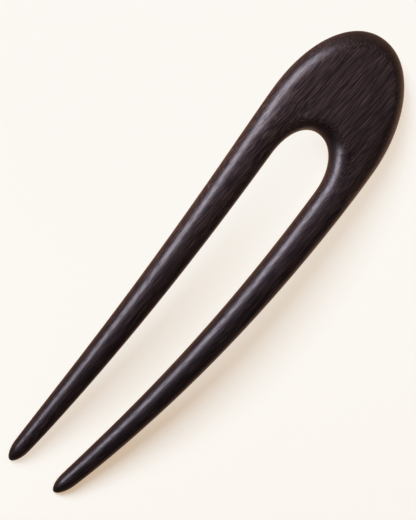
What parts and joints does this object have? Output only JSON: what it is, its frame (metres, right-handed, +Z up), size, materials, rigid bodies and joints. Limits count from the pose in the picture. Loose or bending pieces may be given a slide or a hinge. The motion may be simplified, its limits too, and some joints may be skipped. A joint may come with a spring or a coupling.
{
  "type": "hair fork",
  "caption": "Arched hair fork carved in one piece of dark wood: a gently domed, rounded head and a pair of tapering oval prongs with a U-shaped gap.",
  "frame": {"origin": "on the surface that the fork lies on, under the middle of its bounding box", "axes": "+X across the prongs, +Y from the tips to the head along the fork, +Z up, through the arched back"},
  "size_m": [0.0376, 0.15, 0.0155],
  "materials": {
    "wood": "satin"
  },
  "bodies": {
    "root": {"fork": "wood"}
  },
  "joints": []
}
